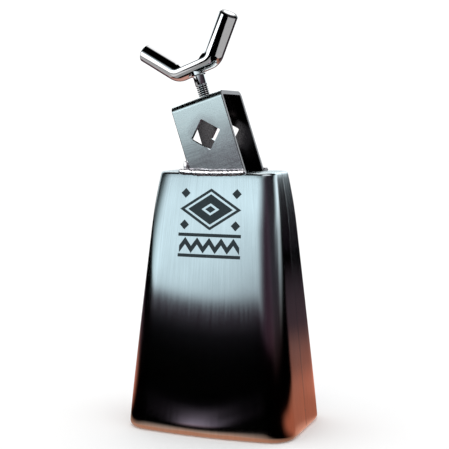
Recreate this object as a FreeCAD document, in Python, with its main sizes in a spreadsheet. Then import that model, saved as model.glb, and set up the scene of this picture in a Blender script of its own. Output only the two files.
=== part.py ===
import FreeCAD, Part
import os
import re
import Sketcher

# Cowbell: a pressed sheet-steel bell of two welded halves, a strap bracket welded on its crown,
# and a wing bolt that presses on the mounting rod through a swivel pad. Lengths in millimetres.
# Frame: the origin is the centre of the mounting rod, midway between the bracket's two plates.
# +Z is up, +Y runs along the mounting rod to the back, and +X is the player's right from the front.
# Two inner frames are used: the bell's, centred on its mouth, and the bracket's, centred on the
# rod and leaning sideways with the bracket.

DIMENSIONS = (
    # alias, value, what it is
    ("bell_height", 127.0, "mouth to crown"),
    ("mouth_width", 87.2, "outside width at the mouth"),
    ("mouth_depth", 64.0, "outside depth at the mouth, over the crowned faces"),
    ("mouth_corner", 12.8, "outside corner radius at the mouth"),
    ("mouth_face_radius", 220.0, "radius of the crowned front and back faces at the mouth"),
    ("crown_width", 62.0, "outside width at the crown, before the shoulder draws in"),
    ("crown_depth", 36.0, "outside depth at the crown, before the shoulder draws in"),
    ("crown_corner", 8.8, "outside corner radius at the crown"),
    ("crown_face_radius", 1500.0, "radius of the front and back faces at the crown"),
    ("shoulder_draw", 1.2, "how far each wall draws in at the crown"),
    ("shoulder_start", 0.78, "share of the height where the walls begin to draw in"),
    ("sheet_gauge", 1.6, "thickness of the bell's sheet"),
    ("crown_bend", 1.5, "outside bend radius at the crown"),
    ("inner_bend", 0.6, "inside bend radius at the crown and the lip"),
    ("lip_curl", 2.6, "outside radius of the curled-in lip"),
    ("lip_reach", 3.8, "how far the lip reaches in from the outside face"),
    ("seam_width", 1.6, "width of the seam welds between the halves"),
    ("pit_radius", 0.7, "radius of the pit left in the right seam"),
    ("pit_height", 10.0, "height of that pit over the mouth"),
    ("lean", 18.0, "sideways lean of the bracket, degrees"),
    ("bracket_offset", 1.5, "bracket axis to the bell's middle, on the crown"),
    ("rod_height", 19.2, "crown to rod centre, along the bracket's axis"),
    ("bracket_width", 27.5, "strap width"),
    ("bracket_depth", 28.5, "front plate to back plate, outside"),
    ("bracket_top", 18.2, "rod centre to the strap's top"),
    ("strap_gauge", 2.4, "strap thickness"),
    ("strap_bend", 3.2, "outside bend radius of the strap"),
    ("strap_edge", 0.35, "rounding of the strap's sheared edges"),
    ("diamond_half", 8.0, "centre to corner of the diamond holes"),
    ("diamond_corner", 0.6, "corner radius of the diamond holes"),
    ("stud_clearance", 6.4, "hole for the stud through the strap"),
    ("puddle_length", 2.1, "half length of one weld puddle along the bead"),
    ("puddle_reach", 2.2, "half width of one weld puddle"),
    ("puddle_rise", 1.7, "half height of one weld puddle"),
    ("puddle_inset", 0.6, "bead line to the crown's front or back edge"),
    ("puddle_count", 19, "puddles in a bead"),
    ("bead_span", 31.2, "first puddle to last puddle"),
    ("bead_offset", -0.3, "middle of the bead to the bell's middle"),
    ("run_up_rise", 3.0, "half height of the weld run up the left of the foot"),
    ("run_up_length", 1.2, "half length of that run"),
    ("run_up_reach", 1.4, "half width of that run"),
    ("run_up_inset", 2.0, "middle of that run to the crown's front or back edge"),
    ("run_up_side", 14.2, "middle of that run to the bell's middle"),
    ("run_up_lift", 2.4, "middle of that run over the crown"),
    ("nut_flats", 10.0, "weld nut across flats"),
    ("nut_height", 4.0, "weld nut height"),
    ("nut_bore", 6.0, "weld nut bore at the thread's crest"),
    ("bore_chamfer", 0.4, "chamfer of the nut's bore"),
    ("tack_leg", 1.3, "leg of the tack welds"),
    ("tack_length", 4.0, "length of the tack welds"),
    ("thread_diameter", 5.9, "stud over the thread"),
    ("thread_depth", 0.55, "depth of the thread"),
    ("thread_pitch", 1.0, "pitch of the thread"),
    ("thread_turns", 14, "turns of thread on the stud"),
    ("thread_end", 11.7, "rod centre to the thread's lower end"),
    ("neck_diameter", 6.0, "smooth neck of the stud"),
    ("stud_seat", 3.0, "depth of the stud's seat in the handle"),
    ("tip_neck", 1.6, "radius of the tip's waist"),
    ("tip_head", 2.2, "radius of the tip's head"),
    ("tip_waist_height", 1.05, "height of the tip's waist"),
    ("tip_head_height", 1.2, "height of the tip's head"),
    ("pad_radius", 5.2, "pressure pad radius"),
    ("pad_floor", 0.8, "pressure pad under its socket"),
    ("pad_lip", 0.6, "pressure pad lip that holds the tip"),
    ("pad_clearance", 0.08, "running clearance round the tip"),
    ("pad_edge", 0.5, "rounding of the pad's rim"),
    ("rod_diameter", 9.4, "handle rod diameter"),
    ("handle_height", 35.6, "mounting rod centre to the handle's middle line"),
    ("handle_half", 11.3, "stud axis to the corner of the handle's middle line"),
    ("arm_length", 23.9, "corner to arm end, along the middle line"),
    ("arm_angle", 45.0, "rise of the arms, degrees"),
    ("handle_bend", 6.2, "bend radius of the handle's middle line"),
    ("press_height", 1.5, "middle line to the flat pressed between the arms"),
    ("press_relief", 0.25, "gap left between that flat and the arms"),
    ("handle_edge", 0.8, "chamfer of the arm ends"),
    ("handle_turn", -15.0, "handle's turn about the stud at rest, degrees"),
    ("collar_radius", 3.7, "weld collar radius"),
    ("collar_drop", 0.6, "weld collar under the handle"),
    ("collar_rise", 2.2, "weld collar above the handle's underside"),
    ("collar_edge", 0.4, "chamfer of the weld collar"),
)

ALIASES = {alias for alias, number, note in DIMENSIONS}

doc = FreeCAD.newDocument("Cowbell")
sheet = doc.addObject("Spreadsheet::Sheet", "Sheet")
for row, (alias, number, note) in enumerate(DIMENSIONS, start=1):
    sheet.set(f"A{row}", note)
    sheet.set(f"B{row}", str(number))
    sheet.setAlias(f"B{row}", alias)
doc.recompute()


def cells(expression):
    """Write each alias in an expression as a reference to its cell."""
    def cell(word):
        return "Sheet." + word[0] if word[0] in ALIASES else word[0]

    return re.sub("[a-z_]+", cell, expression)


def value(expression):
    """The number that an expression of aliases gives."""
    return float(sheet.evalExpression(cells(expression)))


# Bodies, sketches and their helpers


def new_body(label, placement):
    """A body named after its piece, whose place is bound to the sheet."""
    body = doc.addObject("PartDesign::Body", label)
    body.Label = label
    body.setExpression("Placement", placement)
    return body


def new_sketch(body, name, plane, height="0"):
    """A sketch on one of the body's own origin planes, raised off it by height."""
    sketch = body.newObject("Sketcher::SketchObject", name)
    support = next(item for item in body.Origin.OriginFeatures if item.Role == plane)
    sketch.AttachmentSupport = [(support, "")]
    sketch.MapMode = "FlatFace"
    if height != "0":
        sketch.setExpression("AttachmentOffset.Base.z", cells(height))
    return sketch


def bind(sketch, *constraint, to):
    """Add a constraint whose size is an expression of the sheet."""
    index = sketch.addConstraint(Sketcher.Constraint(*constraint, value(to)))
    sketch.setExpression(f"Constraints[{index}]", cells(to))


def relate(sketch, *constraint):
    """Add a constraint that has no size."""
    sketch.addConstraint(Sketcher.Constraint(*constraint))


def point(x, y):
    return FreeCAD.Vector(x, y, 0)


def polygon(sketch, corners):
    """A closed outline whose corners are pairs of expressions."""
    places = [point(value(x), value(y)) for x, y in corners]
    first = sketch.GeometryCount
    count = len(corners)
    for number in range(count):
        sketch.addGeometry(Part.LineSegment(places[number], places[(number + 1) % count]))
    for number, (x, y) in enumerate(corners):
        edge = first + number
        relate(sketch, "Coincident", edge, 2, first + (number + 1) % count, 1)
        bind(sketch, "DistanceX", -1, 1, edge, 1, to=x)
        bind(sketch, "DistanceY", -1, 1, edge, 1, to=y)


def rectangle(sketch, left, low, right, high):
    polygon(sketch, ((left, low), (right, low), (right, high), (left, high)))


def circle(sketch, radius, x="0", y="0"):
    centre = point(value(x), value(y))
    index = sketch.addGeometry(Part.Circle(centre, FreeCAD.Vector(0, 0, 1), value(radius)))
    bind(sketch, "Radius", index, to=radius)
    bind(sketch, "DistanceX", -1, 1, index, 3, to=x)
    bind(sketch, "DistanceY", -1, 1, index, 3, to=y)


def extrude(body, kind, name, sketch, length="", midplane=False, reverse=False):
    """A Pad or a Pocket. With no length it runs through everything."""
    feature = body.newObject("PartDesign::" + kind, name)
    feature.Profile = sketch
    feature.Midplane = midplane
    feature.Reversed = reverse
    if length:
        feature.setExpression("Length", cells(length))
    else:
        feature.Type = "ThroughAll"
    sketch.Visibility = False
    doc.recompute()
    return feature


def revolve(body, kind, name, sketch):
    """A full turn of a sketch about its vertical axis."""
    feature = body.newObject("PartDesign::" + kind, name)
    feature.Profile = sketch
    feature.ReferenceAxis = (sketch, ["V_Axis"])
    feature.Angle = 360
    doc.recompute()
    return feature


def edges_where(feature, test):
    """Names of a feature's edges whose bounds pass the test."""
    edges = enumerate(feature.Shape.Edges, start=1)
    return [f"Edge{number}" for number, edge in edges if test(edge.BoundBox)]


def soften(body, kind, name, feature, size, test):
    """A Fillet or Chamfer on the edges that pass the test."""
    edges = edges_where(feature, test)
    if not edges:
        raise RuntimeError(f"{name} finds no edge")
    dressed = body.newObject("PartDesign::" + kind, name)
    dressed.Base = (feature, edges)
    dressed.setExpression("Radius" if kind == "Fillet" else "Size", cells(size))
    doc.recompute()
    if dressed.Shape.isNull() or not dressed.Shape.isValid():
        raise RuntimeError(f"{name} fails on {len(edges)} edges: {dressed.State}")
    return dressed


def near(number, target):
    return abs(number - target) < 0.02


def at_height(height):
    """A test for edges that lie flat at a height."""
    return lambda box: near(box.ZMin, height) and near(box.ZMax, height)


# Placements of the inner frames

LEAN = "rotation(vector(0; -1; 0); lean)"
BELL_FRAME = cells(
    "placement(vector(rod_height * sin(lean) - bracket_offset; 0;"
    " -1 * rod_height * cos(lean) - bell_height); rotation(0; 0; 0))"
)
BRACKET_FRAME = cells(f"placement(vector(0; 0; 0); {LEAN})")
WING_FRAME = cells(f"placement(vector(0; 0; 0); {LEAN} * rotation(vector(0; 0; 1); handle_turn))")


# The bell: one pressed form, shared out between two halves and three seam welds


def taper(mouth, crown, level):
    """A size that runs straight from the mouth to the crown."""
    return f"({mouth} + ({crown} - {mouth}) * ({level}) / bell_height)"


def shoulder(level):
    """How far the wall has drawn in at a level."""
    rise = f"max(0; ({level}) / bell_height - shoulder_start)"
    return f"shoulder_draw * ({rise} / (1 - shoulder_start)) ^ 2"


def bell_outline(body, name, level, inset):
    """The bell's rounded outline at a level, moved in from the outside face by inset."""
    sketch = new_sketch(body, name, "XY_Plane", level)
    drawn = f"2 * ({shoulder(level)} + {inset})"
    width = f"{taper('mouth_width', 'crown_width', level)} - {drawn}"
    depth = f"{taper('mouth_depth', 'crown_depth', level)} - {drawn}"
    corner = f"{taper('mouth_corner', 'crown_corner', level)} - {inset}"
    face = f"{taper('mouth_face_radius', 'crown_face_radius', level)} - {inset}"
    # The corner arc touches the side line and the face arc, so its centre is fixed by both.
    half = value(width) / 2
    small = value(corner)
    large = value(face)
    middle = large - value(depth) / 2
    across = half - small
    along = ((large - small) ** 2 - across**2) ** 0.5 - middle
    share = large / (large - small)
    touch = point(across * share, (along + middle) * share - middle)
    diagonal = point(across / (large - small), (along + middle) / (large - small))
    halfway = (diagonal + point(1, 0)).normalize() * small + point(across, along)
    front_top = point(0, value(depth) / 2)

    def flip(place, x, y):
        return point(place.x * x, place.y * y)

    side = point(half, along)
    sketch.addGeometry(Part.LineSegment(flip(side, 1, -1), side))
    sketch.addGeometry(Part.Arc(side, halfway, touch))
    sketch.addGeometry(Part.Arc(touch, front_top, flip(touch, -1, 1)))
    sketch.addGeometry(Part.Arc(flip(touch, -1, 1), flip(halfway, -1, 1), flip(side, -1, 1)))
    sketch.addGeometry(Part.LineSegment(flip(side, -1, 1), flip(side, -1, -1)))
    sketch.addGeometry(Part.Arc(flip(side, -1, -1), flip(halfway, -1, -1), flip(touch, -1, -1)))
    sketch.addGeometry(Part.Arc(flip(touch, -1, -1), flip(front_top, 1, -1), flip(touch, 1, -1)))
    sketch.addGeometry(Part.Arc(flip(touch, 1, -1), flip(halfway, 1, -1), flip(side, 1, -1)))
    for edge in range(8):
        relate(sketch, "Tangent", edge, 2, (edge + 1) % 8, 1)
    relate(sketch, "Vertical", 0)
    relate(sketch, "Vertical", 4)
    relate(sketch, "PointOnObject", 2, 3, -2)
    relate(sketch, "PointOnObject", 6, 3, -2)
    for edge in (3, 5, 7):
        relate(sketch, "Equal", 1, edge)
    relate(sketch, "Equal", 2, 6)
    bind(sketch, "Radius", 1, to=corner)
    bind(sketch, "Radius", 2, to=face)
    bind(sketch, "DistanceX", -1, 1, 0, 1, to=f"({width}) / 2")
    bind(sketch, "DistanceX", 4, 1, 0, 1, to=width)
    bind(sketch, "DistanceY", -1, 1, 2, 3, to=f"({depth}) / 2 - ({face})")
    bind(sketch, "DistanceY", -1, 1, 6, 3, to=f"({face}) - ({depth}) / 2")
    return sketch


def loft(body, kind, name, levels, inset):
    """A loft through the bell's outline at several levels, from the top down."""
    outlines = [
        bell_outline(body, f"{name}_at_{number}", level, inset)
        for number, level in enumerate(levels)
    ]
    feature = body.newObject("PartDesign::" + kind, name)
    feature.Profile = outlines[0]
    feature.Sections = outlines[1:]
    feature.Ruled = True
    for outline in outlines:
        outline.Visibility = False
    doc.recompute()
    return feature


BETWEEN = ("0.93 * bell_height", "0.86 * bell_height", "shoulder_start * bell_height")


def bell_wall(label):
    """The whole pressed wall of the bell, in a body of its own."""
    body = new_body(label, BELL_FRAME)
    height = value("bell_height")
    gauge = value("sheet_gauge")
    form = loft(body, "AdditiveLoft", label + "_form", ("bell_height", *BETWEEN, "0"), "0")
    crown = soften(body, "Fillet", label + "_crown_bend", form, "crown_bend", at_height(height))
    lip = soften(body, "Fillet", label + "_lip_curl", crown, "lip_curl", at_height(0))
    inside = ("bell_height - sheet_gauge", *BETWEEN, "sheet_gauge")
    hollow = loft(body, "SubtractiveLoft", label + "_hollow", inside, "sheet_gauge")
    ceiling = at_height(height - gauge)
    roof = soften(body, "Fillet", label + "_roof_bend", hollow, "inner_bend", ceiling)
    curl = soften(body, "Fillet", label + "_inner_curl", roof, "inner_bend", at_height(gauge))
    opening = bell_outline(body, label + "_mouth_outline", "0", "lip_reach")
    extrude(body, "Pocket", label + "_mouth", opening, "sheet_gauge", reverse=True)
    if not lip.Shape.Volume > curl.Shape.Volume > body.Shape.Volume:
        raise RuntimeError(f"{label} isn't hollow")
    return body


def trim(body, plane, name, boxes):
    """Cut away everything inside the boxes, seen square to a plane."""
    sketch = new_sketch(body, name + "_outline", plane)
    for box in boxes:
        rectangle(sketch, *box)
    return extrude(body, "Pocket", name, sketch, midplane=True)


SEAM = "seam_width / 2"
FAR = "2 * bell_height"
CROWN_SEAM = "(crown_width / 2 - 6)"
CROWN_LOW = "(bell_height - 2 * sheet_gauge)"


def front_shell():
    body = bell_wall("front_shell")
    trim(body, "XY_Plane", "front_share", [(f"-1 * {FAR}", f"-1 * {SEAM}", FAR, FAR)])
    return body


def back_shell():
    body = bell_wall("back_shell")
    trim(body, "XY_Plane", "back_share", [(f"-1 * {FAR}", f"-1 * {FAR}", FAR, SEAM)])
    return body


def seam_strip(label):
    """The strip of wall between the two halves, all the way round."""
    body = bell_wall(label)
    before = (f"-1 * {FAR}", f"-1 * {FAR}", FAR, f"-1 * {SEAM}")
    behind = (f"-1 * {FAR}", SEAM, FAR, FAR)
    trim(body, "XY_Plane", label + "_strip", [before, behind])
    return body


def left_side_weld():
    body = seam_strip("left_side_weld")
    trim(body, "XZ_Plane", "left_share", [(f"-1 * {CROWN_SEAM}", f"-1 * {FAR}", FAR, FAR)])
    return body


def right_side_weld():
    """The right seam, with a small pit that the welder left near the lip."""
    body = seam_strip("right_side_weld")
    beyond = (f"-1 * {FAR}", f"-1 * {FAR}", CROWN_SEAM, FAR)
    share = trim(body, "XZ_Plane", "right_share", [beyond])
    pit = body.newObject("PartDesign::SubtractiveSphere", "pit")
    wall = f"{taper('mouth_width', 'crown_width', 'pit_height')} / 2"
    pit.setExpression("Radius", cells("pit_radius"))
    pit.setExpression("Placement.Base.x", cells(f"{wall} + 0.4 * pit_radius"))
    pit.setExpression("Placement.Base.z", cells("pit_height"))
    doc.recompute()
    if not pit.Shape.Volume < share.Shape.Volume:
        raise RuntimeError("the pit misses the seam")
    return body


def crown_weld():
    body = seam_strip("crown_weld")
    left = (f"-1 * {FAR}", f"-1 * {FAR}", f"-1 * {CROWN_SEAM}", FAR)
    right = (CROWN_SEAM, f"-1 * {FAR}", FAR, FAR)
    trim(body, "XZ_Plane", "crown_ends", [left, right])
    below = (f"-1 * {FAR}", f"-1 * {FAR}", FAR, CROWN_LOW)
    trim(body, "XZ_Plane", "crown_share", [below])
    return body


# The bracket, its weld beads and its nut


def mounting_bracket():
    """A strap bent into an upside-down U, cut at a slant to stand on the crown."""
    body = new_body("mounting_bracket", BRACKET_FRAME)
    strap = new_sketch(body, "strap_outline", "YZ_Plane")
    side = "bracket_depth / 2"
    inner = f"({side} - strap_gauge)"
    foot = "-2 * rod_height"
    ceiling = "bracket_top - strap_gauge"
    corners = (
        (f"-1 * {side}", foot),
        (f"-1 * {side}", "bracket_top"),
        (side, "bracket_top"),
        (side, foot),
        (inner, foot),
        (inner, ceiling),
        (f"-1 * {inner}", ceiling),
        (f"-1 * {inner}", foot),
    )
    polygon(strap, corners)
    strip = extrude(body, "Pad", "strap", strap, "bracket_width", midplane=True)

    def at_bend(height):
        level = at_height(height)
        return lambda box: near(box.YMin, box.YMax) and level(box)

    top = value("bracket_top")
    bent = soften(body, "Fillet", "outer_bends", strip, "strap_bend", at_bend(top))
    bend = "strap_bend - strap_gauge"
    bent = soften(body, "Fillet", "inner_bends", bent, bend, at_bend(value(ceiling)))
    slant = new_sketch(body, "slant_outline", "XZ_Plane")
    crown = "-1 * rod_height"
    corners = (
        ("-1 * rod_height", f"{crown} + rod_height * tan(lean)"),
        ("-1 * rod_height", "-4 * rod_height"),
        ("rod_height", "-4 * rod_height"),
        ("rod_height", f"{crown} - rod_height * tan(lean)"),
    )
    polygon(slant, corners)
    extrude(body, "Pocket", "slant_cut", slant, midplane=True)
    diamond = new_sketch(body, "diamond_outline", "XZ_Plane")
    half = "diamond_half"
    polygon(diamond, ((half, "0"), ("0", half), (f"-1 * {half}", "0"), ("0", f"-1 * {half}")))
    holes = extrude(body, "Pocket", "diamond_holes", diamond, midplane=True)
    gauge = value("strap_gauge")
    reach = value(half)

    def at_diamond_corner(box):
        across = (box.XMin + box.XMax) / 2
        up = (box.ZMin + box.ZMax) / 2
        thin = near(box.XMin, box.XMax) and near(box.ZMin, box.ZMax)
        return thin and near(box.YMax - box.YMin, gauge) and near(abs(across) + abs(up), reach)

    rounded = soften(body, "Fillet", "diamond_corners", holes, "diamond_corner", at_diamond_corner)
    wide = value("bracket_width") / 2

    def at_sheared_edge(box):
        return near(abs(box.XMin), wide) and near(box.XMin, box.XMax)

    soften(body, "Fillet", "sheared_edges", rounded, "strap_edge", at_sheared_edge)
    bore = new_sketch(body, "stud_hole_outline", "XY_Plane")
    circle(bore, "stud_clearance / 2")
    extrude(body, "Pocket", "stud_hole", bore, reverse=True)
    return body


def bracket_weld(label, side, shell, bracket):
    """A bead of overlapping puddles along a plate's foot, on the side given as -1 or 1.

    It runs on past the foot's left end and a little way up it."""
    bead = new_body(label + "_bead", BELL_FRAME)
    puddle = bead.newObject("PartDesign::AdditiveEllipsoid", label + "_puddle")
    puddle.setExpression("Radius1", cells("puddle_rise"))
    puddle.setExpression("Radius2", cells("puddle_length"))
    puddle.setExpression("Radius3", cells("puddle_reach"))
    edge = "crown_depth / 2 - shoulder_draw - puddle_inset"
    puddle.setExpression("Placement.Base.x", cells("bead_offset - bead_span / 2"))
    puddle.setExpression("Placement.Base.y", cells(f"{side} * ({edge})"))
    puddle.setExpression("Placement.Base.z", cells("bell_height"))
    doc.recompute()
    row = bead.newObject("PartDesign::LinearPattern", label + "_row")
    row.Originals = [puddle]
    axis = next(item for item in bead.Origin.OriginFeatures if item.Role == "X_Axis")
    row.Direction = (axis, [""])
    row.setExpression("Length", cells("bead_span"))
    row.setExpression("Occurrences", cells("puddle_count"))
    bead.Tip = row
    doc.recompute()
    run_up = bead.newObject("PartDesign::AdditiveEllipsoid", label + "_run_up")
    run_up.setExpression("Radius1", cells("run_up_rise"))
    run_up.setExpression("Radius2", cells("run_up_length"))
    run_up.setExpression("Radius3", cells("run_up_reach"))
    run_up.setExpression("Placement.Base.x", cells("-1 * run_up_side"))
    edge = "crown_depth / 2 - shoulder_draw - run_up_inset"
    run_up.setExpression("Placement.Base.y", cells(f"{side} * ({edge})"))
    run_up.setExpression("Placement.Base.z", cells("bell_height + run_up_lift"))
    doc.recompute()
    if not run_up.Shape.Volume > row.Shape.Volume:
        raise RuntimeError(f"{label} has no run up the foot")
    fitted = bead
    for number, neighbour in enumerate((shell, bracket)):
        cut = doc.addObject("Part::Cut", f"{label}_cut_{number}")
        cut.Base = fitted
        cut.Tool = neighbour
        fitted = cut
    fitted.Label = label
    doc.recompute()
    return fitted


def weld_nut():
    body = new_body("weld_nut", BRACKET_FRAME)
    hexagon = new_sketch(body, "hexagon", "XY_Plane", "bracket_top - strap_gauge - nut_height")
    corner = "nut_flats / 2 / cos(30)"
    turns = range(30, 390, 60)
    polygon(hexagon, [(f"{corner} * cos({turn})", f"{corner} * sin({turn})") for turn in turns])
    extrude(body, "Pad", "nut", hexagon, "nut_height")
    bore = new_sketch(body, "nut_bore_outline", "XY_Plane")
    circle(bore, "nut_bore / 2")
    drilled = extrude(body, "Pocket", "bore", bore, reverse=True)
    low = value("bracket_top - strap_gauge - nut_height")
    wide = value("nut_bore")

    def at_bore_mouth(box):
        return near(box.ZMin, low) and near(box.ZMax, low) and near(box.XMax - box.XMin, wide)

    soften(body, "Chamfer", "bore_mouth", drilled, "bore_chamfer", at_bore_mouth)
    return body


def nut_tack_welds():
    """Three short fillet welds between the nut's flats and the strap."""
    body = new_body("nut_tack_welds", BRACKET_FRAME)
    wedge = new_sketch(body, "tack_outline", "XZ_Plane")
    flat = "nut_flats / 2"
    ceiling = "bracket_top - strap_gauge"
    corners = ((flat, ceiling), (flat, f"{ceiling} - tack_leg"), (f"{flat} + tack_leg", ceiling))
    polygon(wedge, corners)
    tack = extrude(body, "Pad", "tack", wedge, "tack_length", midplane=True)
    ring = body.newObject("PartDesign::PolarPattern", "tack_ring")
    ring.Originals = [tack]
    axis = next(item for item in body.Origin.OriginFeatures if item.Role == "Z_Axis")
    ring.Axis = (axis, [""])
    ring.Angle = 360
    ring.Occurrences = 3
    body.Tip = ring
    doc.recompute()
    return body


# The wing bolt and its pressure pad

HANDLE_LOW = "(handle_height - rod_diameter / 2)"
TIP_LOW = "(thread_end - tip_waist_height - tip_head_height)"


def threaded_stud():
    """Tip head and waist, thread and smooth neck. Rings stand for the thread's helix."""
    body = new_body("threaded_stud", WING_FRAME)
    profile = new_sketch(body, "stud_profile", "XZ_Plane")
    head_top = f"{TIP_LOW} + tip_head_height"
    thread_top = "thread_end + thread_turns * thread_pitch"
    crest = "thread_diameter / 2"
    neck = "neck_diameter / 2"
    seat = f"{HANDLE_LOW} + stud_seat"
    corners = (
        ("0", TIP_LOW),
        ("tip_head", TIP_LOW),
        ("tip_head", head_top),
        ("tip_neck", head_top),
        ("tip_neck", "thread_end"),
        (crest, "thread_end"),
        (crest, thread_top),
        (neck, f"{thread_top} + thread_depth"),
        (neck, seat),
        ("0", seat),
    )
    polygon(profile, corners)
    turned = revolve(body, "Revolution", "stud_blank", profile)
    notch = new_sketch(body, "notch_profile", "XZ_Plane")
    root = f"{crest} - thread_depth"
    outside = f"{crest} + thread_depth / 4"
    corners = (
        (outside, "thread_end"),
        (outside, "thread_end + thread_pitch"),
        (root, "thread_end + thread_pitch / 2"),
    )
    polygon(notch, corners)
    groove = revolve(body, "Groove", "thread_notch", notch)
    if not groove.Shape.Volume < turned.Shape.Volume:
        raise RuntimeError("the thread cuts nothing")
    thread = body.newObject("PartDesign::LinearPattern", "thread")
    thread.Originals = [groove]
    axis = next(item for item in body.Origin.OriginFeatures if item.Role == "Z_Axis")
    thread.Direction = (axis, [""])
    thread.setExpression("Length", cells("(thread_turns - 1) * thread_pitch"))
    thread.setExpression("Occurrences", cells("thread_turns"))
    body.Tip = thread
    doc.recompute()
    return body


def wing_handle():
    """Half of the bent rod is swept from the middle out and mirrored."""
    body = new_body("wing_handle", WING_FRAME)
    path = new_sketch(body, "handle_path", "XZ_Plane")
    tangent = "handle_bend * tan(arm_angle / 2)"
    bend_start = f"handle_half - {tangent}"
    end_x = "handle_half + arm_length * cos(arm_angle)"
    end_z = "handle_height + arm_length * sin(arm_angle)"
    start = point(0, value("handle_height"))
    low = point(value(bend_start), value("handle_height"))
    corner = point(value("handle_half"), value("handle_height"))
    end = point(value(end_x), value(end_z))
    up = (end - corner).normalize()
    high = corner + up * value(tangent)
    centre = low + point(0, value("handle_bend"))
    halfway = centre + (corner - centre).normalize() * value("handle_bend")
    path.addGeometry(Part.LineSegment(start, low))
    path.addGeometry(Part.Arc(low, halfway, high))
    path.addGeometry(Part.LineSegment(high, end))
    relate(path, "Tangent", 0, 2, 1, 1)
    relate(path, "Tangent", 1, 2, 2, 1)
    relate(path, "Horizontal", 0)
    bind(path, "Radius", 1, to="handle_bend")
    bind(path, "DistanceX", -1, 1, 0, 1, to="0")
    bind(path, "DistanceY", -1, 1, 0, 1, to="handle_height")
    bind(path, "DistanceX", -1, 1, 0, 2, to=bend_start)
    bind(path, "DistanceX", -1, 1, 2, 2, to=end_x)
    bind(path, "DistanceY", -1, 1, 2, 2, to=end_z)
    rod = new_sketch(body, "rod_section", "YZ_Plane")
    circle(rod, "rod_diameter / 2", "0", "handle_height")
    arm = body.newObject("PartDesign::AdditivePipe", "arm")
    arm.Profile = rod
    arm.Spine = path
    doc.recompute()
    both = body.newObject("PartDesign::Mirrored", "both_arms")
    both.Originals = [arm]
    plane = next(item for item in body.Origin.OriginFeatures if item.Role == "YZ_Plane")
    both.MirrorPlane = (plane, [""])
    body.Tip = both
    doc.recompute()
    end_low = value(f"{end_z} - rod_diameter / 2")

    def at_arm_end(box):
        return box.ZMin > end_low

    softened = soften(body, "Chamfer", "arm_ends", both, "handle_edge", at_arm_end)
    press = new_sketch(body, "press_outline", "XZ_Plane")
    flat = "handle_height + press_height"
    above = "handle_height + rod_diameter"
    gap = "(rod_diameter / 2 + press_relief) / sin(arm_angle)"
    flat_x = f"handle_half + press_height / tan(arm_angle) - {gap}"
    above_x = f"handle_half + rod_diameter / tan(arm_angle) - {gap}"
    corners = (
        (f"-1 * ({flat_x})", flat),
        (flat_x, flat),
        (above_x, above),
        (f"-1 * ({above_x})", above),
    )
    polygon(press, corners)
    pressed = extrude(body, "Pocket", "pressed_flat", press, midplane=True)
    seat = new_sketch(body, "seat_outline", "XY_Plane", f"{HANDLE_LOW} + stud_seat")
    circle(seat, "neck_diameter / 2")
    extrude(body, "Pocket", "stud_seat", seat)
    if not softened.Shape.Volume > pressed.Shape.Volume > body.Shape.Volume:
        raise RuntimeError("the handle's cuts miss it")
    return body


def stud_weld():
    """A collar round the stud that fills in up to the rod's round underside."""
    body = new_body("stud_weld", WING_FRAME)
    base = new_sketch(body, "collar_outline", "XY_Plane", f"{HANDLE_LOW} - collar_drop")
    circle(base, "collar_radius")
    collar = extrude(body, "Pad", "collar", base, "collar_drop + collar_rise")
    low = value(f"{HANDLE_LOW} - collar_drop")
    eased = soften(body, "Chamfer", "collar_toe", collar, "collar_edge", at_height(low))
    rod = new_sketch(body, "rod_clearance", "YZ_Plane")
    circle(rod, "rod_diameter / 2", "0", "handle_height")
    coped = extrude(body, "Pocket", "cope", rod, midplane=True)
    stud = new_sketch(body, "stud_outline", "XY_Plane")
    circle(stud, "neck_diameter / 2")
    extrude(body, "Pocket", "stud_opening", stud, midplane=True)
    if not eased.Shape.Volume > coped.Shape.Volume > body.Shape.Volume:
        raise RuntimeError("the collar's cuts miss it")
    return body


def pressure_pad():
    """A swivel pad, its lip closed in over the head of the stud's tip."""
    body = new_body("pressure_pad", BRACKET_FRAME)
    profile = new_sketch(body, "pad_profile", "XZ_Plane")
    socket_low = f"{TIP_LOW} - pad_clearance"
    socket_top = f"{TIP_LOW} + tip_head_height + pad_clearance"
    top = f"{socket_top} + pad_lip"
    floor = f"{socket_low} - pad_floor"
    mouth = "tip_neck + pad_clearance"
    socket = "tip_head + pad_clearance"
    corners = (
        ("0", floor),
        ("pad_radius", floor),
        ("pad_radius", top),
        (mouth, top),
        (mouth, socket_top),
        (socket, socket_top),
        (socket, socket_low),
        ("0", socket_low),
    )
    polygon(profile, corners)
    turned = revolve(body, "Revolution", "pad_blank", profile)
    reach = value("pad_radius")

    def at_rim(box):
        return near(box.XMax, reach) and near(box.ZMin, box.ZMax)

    soften(body, "Fillet", "pad_rim", turned, "pad_edge", at_rim)
    return body


front = front_shell()
back = back_shell()
strap = mounting_bracket()
pieces = [
    front,
    back,
    left_side_weld(),
    right_side_weld(),
    crown_weld(),
    strap,
    bracket_weld("front_bracket_weld", -1, front, strap),
    bracket_weld("back_bracket_weld", 1, back, strap),
    weld_nut(),
    nut_tack_welds(),
    threaded_stud(),
    wing_handle(),
    stud_weld(),
    pressure_pad(),
]
doc.recompute()

for item in doc.Objects:
    if "Invalid" in item.State or "Error" in item.State:
        raise RuntimeError(f"{item.Label} failed: {item.State}")
os.makedirs("parts", exist_ok=True)
for piece in pieces:
    if piece.Shape.isNull() or not piece.Shape.isValid() or not piece.Shape.Solids:
        raise RuntimeError(f"{piece.Label} has no valid solid")
    piece.Shape.exportStep(f"parts/{piece.Label}.step")
    print(piece.Label, len(piece.Shape.Solids), round(piece.Shape.Volume, 1))
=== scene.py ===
import math

import bmesh
import bpy
from mathutils import Matrix, Vector, noise


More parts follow.
